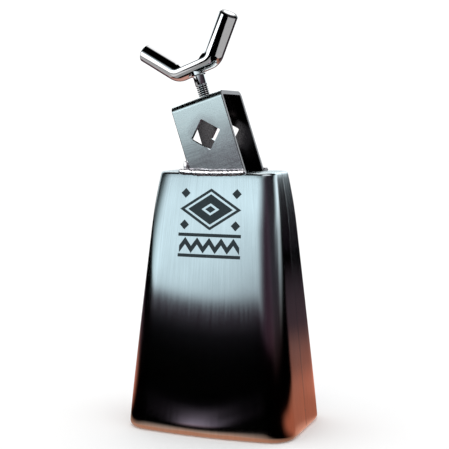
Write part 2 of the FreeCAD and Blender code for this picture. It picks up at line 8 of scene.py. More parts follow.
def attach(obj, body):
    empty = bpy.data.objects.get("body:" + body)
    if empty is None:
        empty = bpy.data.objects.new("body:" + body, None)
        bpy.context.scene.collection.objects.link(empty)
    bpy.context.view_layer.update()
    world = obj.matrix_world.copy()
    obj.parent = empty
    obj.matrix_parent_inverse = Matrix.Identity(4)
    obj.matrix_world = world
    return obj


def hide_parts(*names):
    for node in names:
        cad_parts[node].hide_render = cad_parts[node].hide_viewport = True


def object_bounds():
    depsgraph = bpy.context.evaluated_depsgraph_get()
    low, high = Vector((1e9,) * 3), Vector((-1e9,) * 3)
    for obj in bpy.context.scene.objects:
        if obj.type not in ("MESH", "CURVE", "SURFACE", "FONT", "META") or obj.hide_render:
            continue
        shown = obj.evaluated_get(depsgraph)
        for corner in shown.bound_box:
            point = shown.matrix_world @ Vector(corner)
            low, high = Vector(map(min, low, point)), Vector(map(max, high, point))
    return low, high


# The cowbell's looks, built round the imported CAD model. Sizes below are in millimetres, as in the
# CAD sheet, and every mesh is turned into metres when it is made.

MM = 0.001

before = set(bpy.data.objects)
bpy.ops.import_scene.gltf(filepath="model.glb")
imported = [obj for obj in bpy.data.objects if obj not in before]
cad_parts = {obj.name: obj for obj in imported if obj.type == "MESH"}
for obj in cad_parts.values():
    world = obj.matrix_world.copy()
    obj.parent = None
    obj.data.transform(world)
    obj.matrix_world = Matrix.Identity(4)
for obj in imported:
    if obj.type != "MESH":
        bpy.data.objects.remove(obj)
cad_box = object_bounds()

# The bell's own frame is centred on its mouth. The bracket's frame is centred on the mounting rod
# and leans with the bracket. Both are the CAD model's.
LEAN = math.radians(18)
CROWN_TO_ROD = 19.2
BRACKET_OFFSET = 1.5
BELL_HEIGHT = 127.0
BELL_ORIGIN = Vector(
    (
        CROWN_TO_ROD * math.sin(LEAN) - BRACKET_OFFSET,
        0,
        -CROWN_TO_ROD * math.cos(LEAN) - BELL_HEIGHT,
    )
)
BRACKET_TURN = Matrix.Rotation(LEAN, 3, Vector((0, -1, 0)))


# Meshes


def new_object(name, mesh):
    piece = bpy.data.objects.new(name, mesh)
    bpy.context.scene.collection.objects.link(piece)
    return piece


def new_piece(name, vertices, faces, body, sharp=35):
    """A smooth shaded piece from vertices in the part's frame, in millimetres."""
    mesh = bpy.data.meshes.new(name)
    mesh.from_pydata([Vector(v) * MM for v in vertices], [], faces)
    form = bmesh.new()
    form.from_mesh(mesh)
    bmesh.ops.recalc_face_normals(form, faces=form.faces)
    form.to_mesh(mesh)
    form.free()
    mesh.polygons.foreach_set("use_smooth", [True] * len(mesh.polygons))
    mesh.set_sharp_from_angle(angle=math.radians(sharp))
    piece = new_object(name, mesh)
    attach(piece, body)
    return piece


def tube_faces(ring_count, columns, base=0):
    """Faces of a closed tube whose rings follow each other in the vertex list."""
    faces = []
    for row in range(ring_count - 1):
        here, there = base + row * columns, base + (row + 1) * columns
        for k in range(columns):
            after = (k + 1) % columns
            faces.append((here + k, here + after, there + after, there + k))
    last = base + (ring_count - 1) * columns
    return faces + [tuple(range(base, base + columns)), tuple(range(last, last + columns))]


def spread(start, end, steps):
    """Evenly spaced numbers from start up to, but not with, end."""
    return [start + (end - start) * step / steps for step in range(steps)]


def smooth(low, high, number):
    """0 under low, 1 over high, and an even curve between."""
    share = min(1.0, max(0.0, (number - low) / (high - low)))
    return share * share * (3 - 2 * share)


# The bell's two pressed halves

MOUTH_WIDTH, CROWN_WIDTH = 87.2, 62.0
MOUTH_DEPTH, CROWN_DEPTH = 64.0, 36.0
MOUTH_CORNER, CROWN_CORNER = 12.8, 8.8
MOUTH_FACE, CROWN_FACE = 220.0, 1500.0
SHEET = 1.6
SEAM_HALF = 0.8
SHOULDER_START, SHOULDER_DRAW = 0.78, 1.2
CROWN_BEND = 1.5
CROWN_TILT = math.radians(10.8)
LIP_CURL = 2.6
LIP_REACH = 3.8
LIP_TILT = math.radians(6.0)
INNER_BEND = 0.6
SIDE_STEPS, CORNER_STEPS, FACE_STEPS = 6, 14, 22
CROWN_STEPS, SHOULDER_STEPS, WALL_STEPS, LIP_STEPS = 7, 14, 24, 9
INNER_STEPS, ROOF_STEPS = 3, 20
# Keeps the brush marks of the two halves from matching, in millimetres round the wall.
HALVES_APART = 400


def taper(mouth, crown, level):
    """A size that changes evenly from the mouth to the crown."""
    return mouth + (crown - mouth) * level / BELL_HEIGHT


def shoulder(level):
    """How far each wall draws in near the crown."""
    rise = max(0.0, level / BELL_HEIGHT - SHOULDER_START)
    return SHOULDER_DRAW * (rise / (1 - SHOULDER_START)) ** 2


def half_outline(level, inset):
    """Half of the bell's outline at a level: from the right seam, round a face, to the left seam."""
    half = taper(MOUTH_WIDTH, CROWN_WIDTH, level) / 2 - shoulder(level) - inset
    deep = taper(MOUTH_DEPTH, CROWN_DEPTH, level) / 2 - shoulder(level) - inset
    corner = taper(MOUTH_CORNER, CROWN_CORNER, level) - inset
    face = taper(MOUTH_FACE, CROWN_FACE, level) - inset
    middle = face - deep
    across = half - corner
    along = math.sqrt((face - corner) ** 2 - across**2) - middle
    turn = math.atan2(along + middle, across)
    right = [(half, y) for y in spread(SEAM_HALF, along, SIDE_STEPS)]
    right += [
        (across + corner * math.cos(a), along + corner * math.sin(a))
        for a in spread(0, turn, CORNER_STEPS)
    ]
    right += [
        (face * math.cos(a), face * math.sin(a) - middle)
        for a in spread(turn, math.pi / 2, FACE_STEPS)
    ]
    left = [(-x, y) for x, y in reversed(right)]
    return right + [(0, deep)] + left


def bend(centre, radius, start, end, steps):
    """Points (outward, level) round an arc, its angles in radians from straight outward."""
    angles = [start + (end - start) * step / steps for step in range(steps + 1)]
    return [
        (centre[0] + radius * math.cos(a), centre[1] + radius * math.sin(a)) for a in angles
    ]


def wall_section():
    """The wall's section as rows of (level, inset), from the crown down outside and up inside.

    Also gives the number of rows on the outside, the curl of the lip included."""
    flat = math.pi / 2

    def at_crown(points):
        return [(z, (BELL_HEIGHT - z) * math.tan(CROWN_TILT) - s) for s, z in points]

    def at_lip(points):
        return [(z, -z * math.tan(LIP_TILT) - s) for s, z in points]

    def reach(radius, tilt):
        return radius * math.tan((flat - tilt) / 2)

    def toe(radius):
        return radius / math.tan((flat - LIP_TILT) / 2)

    top = (-reach(CROWN_BEND, CROWN_TILT), BELL_HEIGHT - CROWN_BEND)
    rows = at_crown(bend(top, CROWN_BEND, flat, CROWN_TILT, CROWN_STEPS))
    shoulder_level = SHOULDER_START * BELL_HEIGHT
    rows += [(z, 0.0) for z in spread(rows[-1][0], shoulder_level, SHOULDER_STEPS)[1:]]
    low = (-toe(LIP_CURL), LIP_CURL)
    curl = at_lip(bend(low, LIP_CURL, LIP_TILT, -flat, LIP_STEPS))
    rows += [(z, 0.0) for z in spread(shoulder_level, curl[0][0], WALL_STEPS)]
    outer_rows = len(rows)
    rows += curl
    rows += at_lip([(-LIP_REACH, 0.0), (-LIP_REACH, SHEET)])
    inner = -SHEET * math.tan(LIP_TILT) - SHEET - toe(INNER_BEND)
    rows += at_lip(bend((inner, SHEET + INNER_BEND), INNER_BEND, -flat, LIP_TILT, INNER_STEPS))
    roof_side = SHEET * math.tan(CROWN_TILT) - SHEET - reach(INNER_BEND, CROWN_TILT)
    roof_bend = (roof_side, BELL_HEIGHT - SHEET - INNER_BEND)
    roof = at_crown(bend(roof_bend, INNER_BEND, CROWN_TILT, flat, INNER_STEPS))
    rows += [(z, SHEET) for z in spread(rows[-1][0], roof[0][0], ROOF_STEPS)[1:]]
    return rows + roof, outer_rows + len(curl)


def copper_reflection_share(x, level):
    """0 on plain nickel to 1 under a painted copper reflection: at the corners by the mouth, and on the
    lip.
    """
    edge = smooth(0.66, 0.97, abs(x) / (taper(MOUTH_WIDTH, CROWN_WIDTH, level) / 2))
    return max(edge * smooth(84, 6, level), smooth(4.5, 1.5, level))


def add_attribute(mesh, name, kind, field, numbers):
    mesh.attributes.new(name, kind, "POINT")
    mesh.attributes[name].data.foreach_set(field, numbers)


def shell_half(name, node, side):
    """One pressed half. Side is -1 for the front and 1 for the back."""
    rows, outer_rows = wall_section()
    mouth = half_outline(0, 0)
    around = [0.0]
    for here, there in zip(mouth, mouth[1:]):
        around.append(around[-1] + math.dist(here, there))
    count = len(mouth)
    vertices, brush, copper_reflection = [], [], []
    for level, inset in rows:
        for (x, y), distance in zip(half_outline(level, inset), around):
            vertices.append(BELL_ORIGIN + Vector((x, side * y, level)))
            brush += (distance + side * HALVES_APART, level, 0.0)
            # Each point's share of the painted copper reflection.
            copper_reflection.append(copper_reflection_share(x, level))
    faces = [
        (row * count + k, row * count + k + 1, (row + 1) * count + k + 1, (row + 1) * count + k)
        for row in range(len(rows) - 1)
        for k in range(count - 1)
    ]
    skin = (outer_rows - 1) * (count - 1)
    last = (len(rows) - 1) * count
    crown = tuple(range(count))
    roof = tuple(range(last, last + count))
    right = [row * count for row in range(len(rows))]
    left = [row * count + count - 1 for row in range(len(rows))]
    seam = tuple(right + left[::-1])
    piece = new_piece(name, vertices, faces + [crown, roof, seam], "bell")
    mesh = piece.data
    add_attribute(mesh, "brush", "FLOAT_VECTOR", "vector", brush)
    add_attribute(mesh, "copper_reflection", "FLOAT", "value", copper_reflection)
    for material in (wall_metal, inside_metal, crown_metal):
        mesh.materials.append(material)
    slots = [0] * skin + [1] * (len(faces) - skin) + [2, 1, 1]
    mesh.polygons.foreach_set("material_index", slots)
    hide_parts(node)


# Materials


class Nodes:
    """A material's node tree with short calls for its nodes."""

    def __init__(self, name):
        self.material = bpy.data.materials.new(name)
        self.material.use_nodes = True
        self.tree = self.material.node_tree
        self.shader = self.tree.nodes["Principled BSDF"]

    def add(self, kind, inputs=(), **settings):
        """A new node. Inputs are (socket, value or output) pairs."""
        node = self.tree.nodes.new("ShaderNode" + kind)
        for key, setting in settings.items():
            setattr(node, key, setting)
        for socket, source in inputs:
            self.put(node.inputs[socket], source)
        return node

    def put(self, socket, source):
        if isinstance(source, bpy.types.NodeSocket):
            self.tree.links.new(source, socket)
        else:
            socket.default_value = source[:3] if socket.type == "VECTOR" else source

    def set(self, **inputs):
        """Sets sockets of the shader, such as Base_Color."""
        for key, source in inputs.items():
            self.put(self.shader.inputs[key.replace("_", " ")], source)

    def math(self, operation, a, b=0.0):
        return self.add("Math", [(0, a), (1, b)], operation=operation).outputs[0]

    def scaled(self, vector, factors):
        node = self.add("VectorMath", [(0, vector), (1, factors)], operation="MULTIPLY")
        return node.outputs[0]

    def brightened(self, colour, factor):
        node = self.add("VectorMath", [(0, colour)], operation="SCALE")
        self.put(node.inputs["Scale"], factor)
        return node.outputs[0]

    def turned(self, vector, axis, angle):
        inputs = [("Vector", vector), ("Angle", angle)]
        return self.add("VectorRotate", inputs, rotation_type=axis + "_AXIS").outputs[0]

    def axes(self, vector):
        """The X, Y and Z outputs of a vector."""
        return self.add("SeparateXYZ", [(0, vector)]).outputs

    def vector(self, x=0.0, y=0.0, z=0.0):
        return self.add("CombineXYZ", [(0, x), (1, y), (2, z)]).outputs[0]

    def length(self, x, y):
        """The length of two sides at right angles."""
        node = self.add("VectorMath", [(0, self.vector(x, y))], operation="LENGTH")
        return node.outputs["Value"]

    def noise(self, vector, scale, detail=2.0, rough=0.5):
        inputs = [("Vector", vector), ("Scale", scale), ("Detail", detail), ("Roughness", rough)]
        return self.add("TexNoise", inputs).outputs["Fac"]

    def remap(self, number, low, high, to_low=0.0, to_high=1.0):
        inputs = [(0, number), (1, low), (2, high), (3, to_low), (4, to_high)]
        return self.add("MapRange", inputs, interpolation_type="SMOOTHSTEP").outputs[0]

    def mix(self, share, a, b):
        node = self.add("Mix", data_type="RGBA")
        self.put(node.inputs["Factor"], share)
        self.put(node.inputs["A"], a)
        self.put(node.inputs["B"], b)
        return node.outputs["Result"]

    def bump(self, height, strength, distance_mm):
        inputs = [("Height", height), ("Strength", strength), ("Distance", distance_mm * MM)]
        return self.add("Bump", inputs).outputs[0]

    def attribute(self, name, output="Vector"):
        return self.add("Attribute", attribute_name=name).outputs[output]

    def place_mm(self):
        """The surface point in the part's frame, in millimetres."""
        point = self.add("TexCoord").outputs["Object"]
        return self.scaled(point, (1 / MM,) * 3)

    def leaning_mm(self):
        """The surface point in the bracket's leaning frame, in millimetres."""
        return self.turned(self.place_mm(), "Y", LEAN)


def tint(red, green, blue):
    return (red, green, blue, 1.0)


NICKEL = tint(0.66, 0.74, 0.77)
# The copper of a warm reflection, painted on the bell's lower corners and lip.
REFLECTED_COPPER = tint(0.82, 0.43, 0.31)
BARE_STEEL = tint(0.36, 0.35, 0.35)
CHROME = tint(0.90, 0.90, 0.91)

# The strap, the wing handle and the stud's thread, as the CAD model has them. The handle's arms
# rise at 45 degrees.
STRAP_HALF = 13.75
STRAP_INSIDE = 11.85
STRAP_UNDERSIDE = 15.8
HANDLE_HEIGHT = 35.6
HANDLE_HALF = 11.3
HANDLE_RADIUS = 4.7
HANDLE_TURN = math.radians(-15)
ARM_LENGTH = 23.9
THREAD_RADIUS, THREAD_DEPTH = 2.95, 0.55


def brushed(name, lines, colour, rough, spread_share, line_bump=0.25, tangent=None):
    """Brushed metal. Lines is a function that gives millimetres across and along the strokes.

    Colour is a tint or a function that gives one. The spread share is the anisotropy."""
    n = Nodes(name)
    across_along = lines(n)
    fine = n.noise(n.scaled(across_along, (3.2, 0.045, 1)), 1.0, 3.0, 0.6)
    broad = n.noise(n.scaled(across_along, (0.7, 0.02, 1)), 1.0, 2.0)
    cloud = n.noise(n.scaled(across_along, (0.06, 0.05, 1)), 1.0, 3.0)
    scratch = n.noise(n.scaled(across_along, (1.6, 0.012, 1)), 1.0, 0.0)
    strokes = n.math("ADD", n.math("MULTIPLY", fine, 0.65), n.math("MULTIPLY", broad, 0.35))
    shade = n.remap(strokes, 0.34, 0.66, 0.90, 1.05)
    marks = n.remap(scratch, 0.70, 0.78, 1.0, 0.92)
    value = n.math("MULTIPLY", shade, marks)
    value = n.math("MULTIPLY", value, n.remap(cloud, 0.3, 0.7, 0.95, 1.03))
    base = colour(n) if callable(colour) else colour
    n.set(Base_Color=n.brightened(base, value), Metallic=1.0, Anisotropic=spread_share)
    n.set(Roughness=n.remap(strokes, 0.3, 0.7, rough * 0.85, rough * 1.2))
    n.set(Normal=n.bump(strokes, line_bump, 0.012))
    n.set(Tangent=tangent(n) if tangent else round_tangent(n))
    return n.material


def round_tangent(n):
    """Level, along the bell's wall and square to its upright strokes."""
    return n.add("Tangent", direction_type="RADIAL", axis="Z").outputs[0]


def wall_colour(n):
    """Nickel plate with a painted copper reflection at the corners by the mouth and along the lip."""
    brush = n.attribute("brush")
    patch = n.noise(n.scaled(brush, (0.05, 0.03, 1)), 1.0, 3.0)
    uneven = n.remap(patch, 0.3, 0.7, 0.95, 1.25)
    share = n.math("MULTIPLY", n.attribute("copper_reflection", "Fac"), uneven)
    return n.mix(n.math("MINIMUM", share, 1.0), NICKEL, REFLECTED_COPPER)


def seam_colour(n):
    """The wall's plate, a little darker, on the ground welds, with a painted copper reflection that
    grows towards the mouth.
    """
    seam_copper_reflection = n.remap(n.axes(n.place_mm())["Z"], -70.0, -135.0)
    return n.mix(seam_copper_reflection, tint(0.60, 0.66, 0.69), tint(0.66, 0.37, 0.28))


def wall_lines(n):
    return n.attribute("brush")


def crown_lines(n):
    return n.turned(n.place_mm(), "Z", math.pi / 2)


def upright_lines(n):
    """Strokes up the bell's side, for the seam welds."""
    axes = n.axes(n.place_mm())
    return n.vector(axes["Y"], axes["Z"])


def strap_lines(n):
    """Strokes across the leaning bracket: along its width, stacked up its height."""
    axes = n.axes(n.leaning_mm())
    up = n.math("ADD", axes["Z"], n.math("MULTIPLY", axes["Y"], 0.35))
    return n.vector(up, axes["X"])


def strap_tangent(n):
    """Up the leaning plates, square to their strokes."""
    return n.vector(x=-math.sin(LEAN), z=math.cos(LEAN))


def strap_colour(n):
    """Nickel plate outside, darkened low down by a painted reflection and darker round the holes, and
    painted shade inside the bend.
    """
    axes = n.axes(n.place_mm())
    patch = n.noise(n.place_mm(), 0.12, 3.0)
    grain = n.noise(n.place_mm(), 1.6, 3.0)
    off_hole = n.length(axes["X"], axes["Z"])

    # Painted reflection: the plate's outside is bright at the top and darker low down.
    slope = n.math("SUBTRACT", axes["Z"], n.math("MULTIPLY", axes["X"], 0.6))
    low = n.remap(slope, -17.0, 12.0, 1.0, 0.0)
    by_hole = n.remap(n.math("ADD", off_hole, n.math("MULTIPLY", patch, 6.0)), 9.0, 15.0, 0.55, 0.0)
    shade_and_hole_darkening = n.math("MULTIPLY", n.math("MAXIMUM", low, by_hole), n.remap(patch, 0.3, 0.7, 0.8, 1.0))
    shade_and_hole_darkening = n.math("MULTIPLY", shade_and_hole_darkening, n.remap(grain, 0.35, 0.65, 0.75, 1.0))
    outside = n.mix(shade_and_hole_darkening, tint(0.90, 0.98, 0.98), tint(0.40, 0.355, 0.385))

    # Painted shade, near black, on the faces inside the bend, with a lighter painted reflection near
    # the holes.
    off_patch = n.math("ADD", off_hole, n.math("MULTIPLY", axes["X"], 0.2))
    ragged = n.math("ADD", off_patch, n.remap(grain, 0.3, 0.7, -3.0, 3.0))
    rubbed = n.mix(n.remap(grain, 0.35, 0.65), tint(0.09, 0.075, 0.075), tint(0.22, 0.185, 0.185))
    inside = n.mix(n.remap(ragged, 9.0, 14.0, 1.0, 0.0), tint(0.030, 0.025, 0.027), rubbed)

    leaning = n.axes(n.leaning_mm())
    past_plate = n.remap(n.math("ABSOLUTE", axes["Y"]), STRAP_INSIDE + 0.05, STRAP_INSIDE + 0.55)
    past_top = n.remap(leaning["Z"], STRAP_UNDERSIDE + 0.8, STRAP_UNDERSIDE + 1.6)
    faces = n.mix(n.math("MAXIMUM", past_plate, past_top), inside, outside)
    sheared = n.remap(n.math("ABSOLUTE", leaning["X"]), STRAP_HALF - 0.4, STRAP_HALF - 0.1)
    return n.mix(sheared, faces, tint(0.16, 0.15, 0.155))


def handle_colour(n):
    """Chrome with a painted dark reflection on the rims of the two arm ends."""
    axes = n.axes(n.turned(n.leaning_mm(), "Z", -HANDLE_TURN))
    out = n.math("SUBTRACT", n.math("ABSOLUTE", axes["X"]), HANDLE_HALF)
    rise = n.math("SUBTRACT", axes["Z"], HANDLE_HEIGHT)
    share = math.sqrt(0.5)
    along = n.math("MULTIPLY", n.math("ADD", out, rise), share)
    off = n.math("MULTIPLY", n.math("SUBTRACT", rise, out), share)
    near_end = n.remap(along, ARM_LENGTH - 1.1, ARM_LENGTH - 0.8)
    near_rim = n.remap(n.length(off, axes["Y"]), HANDLE_RADIUS - 2.1, HANDLE_RADIUS - 1.6)
    return n.mix(n.math("MULTIPLY", near_end, near_rim), CHROME, tint(0.02, 0.018, 0.02))


def stud_colour(n):
    """Chrome over the thread's crests, with painted shade in its roots."""
    axes = n.axes(n.leaning_mm())
    radius = n.length(axes["X"], axes["Y"])
    root_shade = n.remap(radius, THREAD_RADIUS - 0.4, THREAD_RADIUS - 0.1, 1.0, 0.0)
    return n.mix(root_shade, CHROME, tint(0.03, 0.027, 0.03))


def polished(name, colour, rough, wave, wave_scale):
    """Bright plate over turned or welded metal: smudges, pin marks and a faint waviness."""
    n = Nodes(name)
    base = colour(n) if callable(colour) else colour
    point = n.place_mm()
    smudge = n.noise(point, 0.22, 4.0, 0.6)
    pins = n.noise(point, 2.6, 1.0)
    n.set(Base_Color=n.mix(n.remap(pins, 0.70, 0.76), base, BARE_STEEL), Metallic=1.0)
    n.set(Roughness=n.remap(smudge, 0.35, 0.75, rough, rough * 2.4))
    n.set(Normal=n.bump(n.noise(point, wave_scale, 2.0), wave, 0.3))
    return n.material


def dull_inside(name):
    """The bell's inside: bare sheet with drawing lines and brown stains."""
    n = Nodes(name)
    point = n.place_mm()
    stain = n.noise(point, 0.05, 5.0, 0.65)
    grain = n.noise(n.scaled(point, (1.4, 1.4, 0.05)), 1.0, 3.0)
    base = n.mix(n.remap(stain, 0.4, 0.68), BARE_STEEL, tint(0.22, 0.15, 0.12))
    n.set(Base_Color=base, Metallic=1.0, Roughness=n.remap(grain, 0.3, 0.7, 0.38, 0.56))
    n.set(Normal=n.bump(grain, 0.3, 0.02))
    return n.material


def printed_ink(name):
    """Screen-printed ink, thin enough to show the brushing and rubbed at its edges."""
    n = Nodes(name)
    point = n.place_mm()
    rub = n.noise(point, 1.6, 4.0, 0.7)
    strokes = n.noise(n.scaled(point, (3.0, 3.0, 0.05)), 1.0, 2.0)
    worn = n.math("MULTIPLY", n.remap(rub, 0.60, 0.72), n.remap(strokes, 0.45, 0.6))
    base = n.mix(worn, tint(0.012, 0.027, 0.034), tint(0.12, 0.17, 0.19))
    n.set(Base_Color=base, Roughness=n.remap(strokes, 0.3, 0.7, 0.42, 0.6))
    n.set(Normal=n.bump(strokes, 0.2, 0.01))
    return n.material


wall_metal = brushed("brushed_nickel_wall", wall_lines, wall_colour, 0.12, 0.97, line_bump=0.12)
crown_metal = brushed("brushed_nickel_crown", crown_lines, NICKEL, 0.2, 0.6)
seam_metal = brushed("ground_seam", upright_lines, seam_colour, 0.16, 0.97, line_bump=0.12)
strap_metal = brushed(
    "brushed_nickel_strap", strap_lines, strap_colour, 0.16, 0.88, tangent=strap_tangent
)
inside_metal = dull_inside("bare_inside")
bead_metal = polished("weld_bead_plate", tint(0.90, 0.88, 0.90), 0.24, wave=0.4, wave_scale=0.9)
chrome = polished("chrome_plate", CHROME, 0.035, wave=0.05, wave_scale=0.12)
handle_chrome = polished("handle_chrome", handle_colour, 0.035, wave=0.05, wave_scale=0.12)
stud_chrome = polished("stud_chrome", stud_colour, 0.035, wave=0.05, wave_scale=0.12)
zinc = polished("zinc_plate", tint(0.62, 0.62, 0.60), 0.22, wave=0.1, wave_scale=0.5)
ink = printed_ink("printed_ink")

CAD_FINISHES = {
    "mounting_bracket": strap_metal,
    "left_side_weld": seam_metal,
    "right_side_weld": seam_metal,
    "crown_weld": seam_metal,
    "weld_nut": zinc,
    "nut_tack_welds": zinc,
    "wing_handle": handle_chrome,
    "stud_weld": chrome,
    "pressure_pad": zinc,
}
for node_name, finish in CAD_FINISHES.items():
    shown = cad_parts[node_name].data
    shown.materials.clear()
    shown.materials.append(finish)

shell_half("front_skin", "front_shell", -1)
shell_half("back_skin", "back_shell", 1)


# The printed emblem: nested lozenges over a zigzag border

# The emblem's middle, across from the bell's middle and up from its mouth. Places in the emblem
# are from that middle, and a lozenge's size is its half width and half height.
EMBLEM_MIDDLE = (0.3, 102.8)
LOZENGE_HEIGHT = 6.6
LOZENGE_SIZES = [(15.8, 10.0), (13.4, 8.5), (11.6, 7.3), (4.6, 2.9), (2.7, 1.7)]
DOT_SIZE = 2.4
DOT_SIDE, DOT_HIGH, DOT_LOW = 13.2, 14.2, -1.0
BAR_HALF, BAR_WIDTH = 16.2, 1.6
BAR_HIGH, BAR_LOW = -6.6, -16.6
ZIGZAG_HALF, ZIGZAG_TEETH, ZIGZAG_WIDTH = 15.6, 10, 3.4
ZIGZAG_LOW, ZIGZAG_HIGH = -12.9, -8.7
INK_RISE = 0.04
INK_DEPTH = 0.08
# The printed faces are cut to edges no longer than this, to follow the crowned wall.
LONGEST_EDGE = 3.0
CUT_ROUNDS = 4


def front_face(x, level):
    """The depth of the bell's front face."""
    deep = taper(MOUTH_DEPTH, CROWN_DEPTH, level) / 2 - shoulder(level)
    face = taper(MOUTH_FACE, CROWN_FACE, level)
    return face - deep - math.sqrt(face**2 - x**2)


def lozenge(x, y, half_width, half_height):
    return [(x - half_width, y), (x, y - half_height), (x + half_width, y), (x, y + half_height)]


def bar(left, low, right, high):
    return [(left, low), (right, low), (right, high), (left, high)]


def ring(outer, inner):
    """Quads between two closed outlines with as many corners."""
    count = len(outer)
    return [
        [outer[k], outer[(k + 1) % count], inner[(k + 1) % count], inner[k]]
        for k in range(count)
    ]


def zigzag(left, right, low, high, teeth, width):
    """Quads of a zigzag line between two levels."""
    step = (right - left) / teeth
    line = [(left + k * step, high if k % 2 else low) for k in range(teeth + 1)]
    return [
        [(ax, ay - width / 2), (bx, by - width / 2), (bx, by + width / 2), (ax, ay + width / 2)]
        for (ax, ay), (bx, by) in zip(line, line[1:])
    ]


def emblem_shapes():
    """Shapes made of convex cells, in millimetres from the emblem's middle.

    Cells of one shape that touch share their corners."""
    nested = [lozenge(0, LOZENGE_HEIGHT, *size) for size in LOZENGE_SIZES]
    shapes = [ring(nested[0], nested[1]), ring(nested[2], nested[3]), [nested[4]]]
    for y in (DOT_HIGH, DOT_LOW):
        for x in (-DOT_SIDE, DOT_SIDE):
            shapes.append([lozenge(x, y, DOT_SIZE, DOT_SIZE)])
    for low in (BAR_HIGH, BAR_LOW):
        shapes.append([bar(-BAR_HALF, low, BAR_HALF, low + BAR_WIDTH)])
    band = (-ZIGZAG_HALF, ZIGZAG_HALF, ZIGZAG_LOW, ZIGZAG_HIGH)
    shapes.append(zigzag(*band, ZIGZAG_TEETH, ZIGZAG_WIDTH))
    return shapes


def on_front(x, y):
    """A point of the emblem on the front wall, in metres."""
    across, level = x + EMBLEM_MIDDLE[0], y + EMBLEM_MIDDLE[1]
    return (BELL_ORIGIN + Vector((across, front_face(across, level) - INK_RISE, level))) * MM


def emblem():
    """Thin printed solids that follow the front wall, half sunk in it."""
    form = bmesh.new()
    for shape in emblem_shapes():
        known = {}
        for cell in shape:
            for corner in cell:
                if corner not in known:
                    known[corner] = form.verts.new((*corner, 0.0))
            form.faces.new([known[corner] for corner in cell])
    for _ in range(CUT_ROUNDS):
        long_edges = [edge for edge in form.edges if edge.calc_length() > LONGEST_EDGE]
        if long_edges:
            bmesh.ops.subdivide_edges(form, edges=long_edges, cuts=1, use_grid_fill=True)
    bmesh.ops.triangulate(form, faces=form.faces)
    for vertex in form.verts:
        vertex.co = on_front(vertex.co.x, vertex.co.y)
    bmesh.ops.recalc_face_normals(form, faces=form.faces)
    for face in form.faces:
        if face.normal.y > 0:
            face.normal_flip()
    bmesh.ops.solidify(form, geom=form.faces[:], thickness=INK_DEPTH * MM)
    bmesh.ops.recalc_face_normals(form, faces=form.faces)
    mesh = bpy.data.meshes.new("printed_emblem")
    form.to_mesh(mesh)
    form.free()
    mesh.materials.append(ink)
    piece = new_object("printed_emblem", mesh)
    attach(piece, "bell")


emblem()


# The weld beads at the bracket's feet

BEAD_START, BEAD_END = -17.8, 17.2
BEAD_LINE = 16.25
BEAD_REACH, BEAD_RISE = 2.15, 1.65
BEAD_SAG, BEAD_LIFT = 0.7, 0.35
# The bead's inner side goes no deeper than this, so that it stays inside the crown's sheet.
BEAD_DEPTH = 1.4
RIPPLE, RIPPLE_PITCH = 0.09, 2.4
BEAD_STEPS, BEAD_COLUMNS = 220, 28
RUN_UP_MIDDLE = (-14.4, 14.9, 2.2)
RUN_UP_SIZE = (1.15, 1.35, 3.1)
RUN_UP_SLANT = 0.3
RUN_UP_ROWS = 16


def bead_ring(x):
    """A slice of the bead, as points (outward, up) from its line."""
    share = (x - BEAD_START) / (BEAD_END - BEAD_START)
    blunt = max(0.0, 1 - abs(2 * share - 1) ** 14) ** 0.5
    swell = 1 + 0.16 * noise.noise(Vector((x * 0.22, 3.1, 0)))
    ridge = 1 - RIPPLE * (1 - abs(math.cos(math.pi * x / RIPPLE_PITCH)))
    size = max(0.04, blunt * swell * ridge)
    sag = BEAD_SAG * (1 - (2 * share - 1) ** 2) - BEAD_LIFT
    points = []
    for column in range(BEAD_COLUMNS):
        angle = 2 * math.pi * column / BEAD_COLUMNS
        way = Vector((x * 0.9, math.cos(angle) * 1.4, math.sin(angle) * 1.4))
        lump = 1 + 0.05 * noise.noise(way)
        outward = BEAD_REACH * size * lump * math.cos(angle)
        up = BEAD_RISE * size * lump * math.sin(angle) - sag
        points.append((outward, max(up, -BEAD_DEPTH) if outward < 0 else up))
    return points


def weld_bead(name, node, side):
    """The bead along a plate's foot. Side is -1 for the front and 1 for the back."""
    vertices = []
    for step in range(BEAD_STEPS + 1):
        x = BEAD_START + (BEAD_END - BEAD_START) * step / BEAD_STEPS
        for outward, up in bead_ring(x):
            place = Vector((x, side * (BEAD_LINE + outward), BELL_HEIGHT + up))
            vertices.append(BELL_ORIGIN + place)
    faces = tube_faces(BEAD_STEPS + 1, BEAD_COLUMNS)
    faces += tube_faces(RUN_UP_ROWS, BEAD_COLUMNS, len(vertices))
    vertices += run_up(side)
    piece = new_piece(name, vertices, faces, "bell", sharp=60)
    piece.data.materials.append(bead_metal)
    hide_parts(node)


def run_up(side):
    """Rings of the short run of weld up the left edge of the plate's foot."""
    x, y, z = RUN_UP_MIDDLE
    middle = BELL_ORIGIN + Vector((x, side * y, BELL_HEIGHT + z))
    wide, deep, high = RUN_UP_SIZE
    vertices = []
    for row in range(RUN_UP_ROWS):
        tip = math.pi * (row + 0.25) / (RUN_UP_ROWS - 0.5)
        for column in range(BEAD_COLUMNS):
            angle = 2 * math.pi * column / BEAD_COLUMNS
            flat = math.sin(tip)
            way = Vector((flat * math.cos(angle), flat * math.sin(angle), math.cos(tip)))
            lump = 1 + 0.12 * noise.noise(way * 1.6 + Vector((7.0, side, 0)))
            shape = Vector((wide * way.x - RUN_UP_SLANT * way.z, deep * way.y, high * way.z))
            vertices.append(middle + shape * lump)
    return vertices


weld_bead("front_bead", "front_bracket_weld", -1)
weld_bead("back_bead", "back_bracket_weld", 1)


# The stud, with a real helical thread

THREAD_LOW, THREAD_TURNS, PITCH = 11.7, 14, 1.0
THREAD_HIGH = THREAD_LOW + THREAD_TURNS * PITCH
ROWS_PER_TURN = 10
TIP_WAIST, TIP_HEAD = 1.6, 2.2
NECK_RADIUS = 3.0
STUD_TOP = 33.9
STUD_COLUMNS = 48


